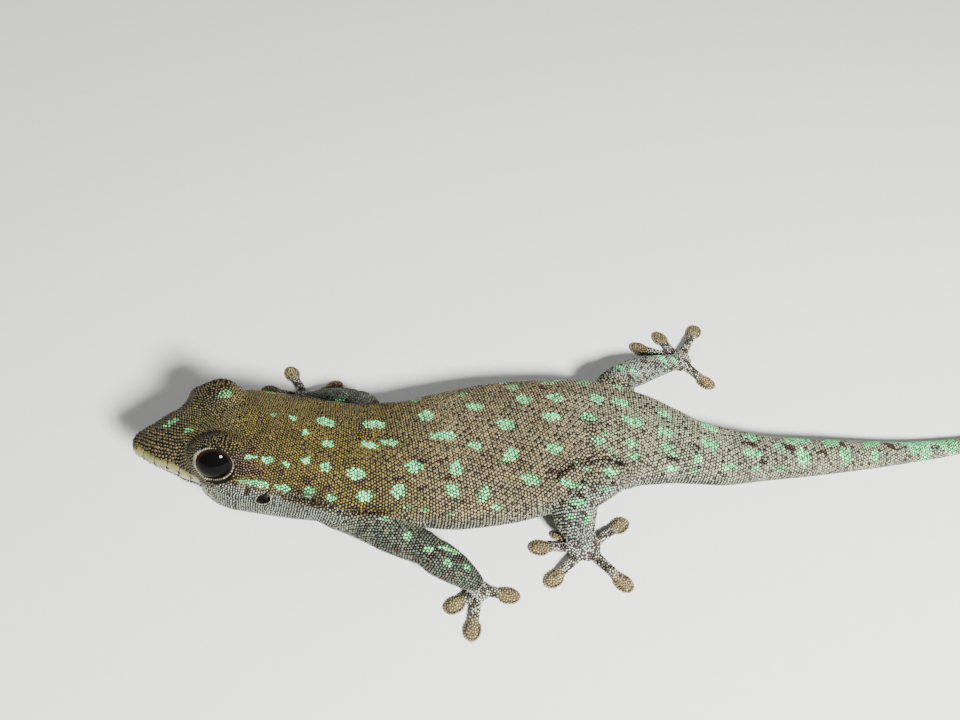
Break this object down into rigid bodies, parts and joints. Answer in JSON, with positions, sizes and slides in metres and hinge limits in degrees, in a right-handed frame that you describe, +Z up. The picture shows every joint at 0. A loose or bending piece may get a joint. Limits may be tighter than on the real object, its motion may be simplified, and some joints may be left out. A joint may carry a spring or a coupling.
{
  "type": "day gecko",
  "caption": "Small day gecko at rest on a flat floor with its head raised, legs spread and long tail laid out, a still life-size display model.",
  "frame": {"origin": "on the floor, under the middle of the whole animal's box", "axes": "+X runs from the head to the tip of the tail, +Z is up, and the animal's left side is towards -Y"},
  "size_m": [0.1112, 0.0446, 0.0151],
  "materials": {
    "skin": "scaly skin, olive brown with pale green spots, soft sheen",
    "throat_skin": "fine pale grey scales, soft sheen",
    "foot_skin": "pale scaly toes with tan pads, matt",
    "eye": "wet gloss, near black with a dark brown iris"
  },
  "bodies": {
    "root": {"head": "skin", "lower_jaw": "throat_skin", "eye_left": "eye", "eye_right": "eye", "neck": "skin", "torso": "skin", "tail_base": "skin", "tail_middle": "skin", "tail_end": "skin", "tail_tip": "skin", "arm_upper_left": "skin", "forearm_left": "skin", "hand_left": "foot_skin", "arm_upper_right": "skin", "forearm_right": "skin", "hand_right": "foot_skin", "thigh_left": "skin", "shin_left": "skin", "foot_left": "foot_skin", "thigh_right": "skin", "shin_right": "skin", "foot_right": "foot_skin"}
  },
  "joints": []
}
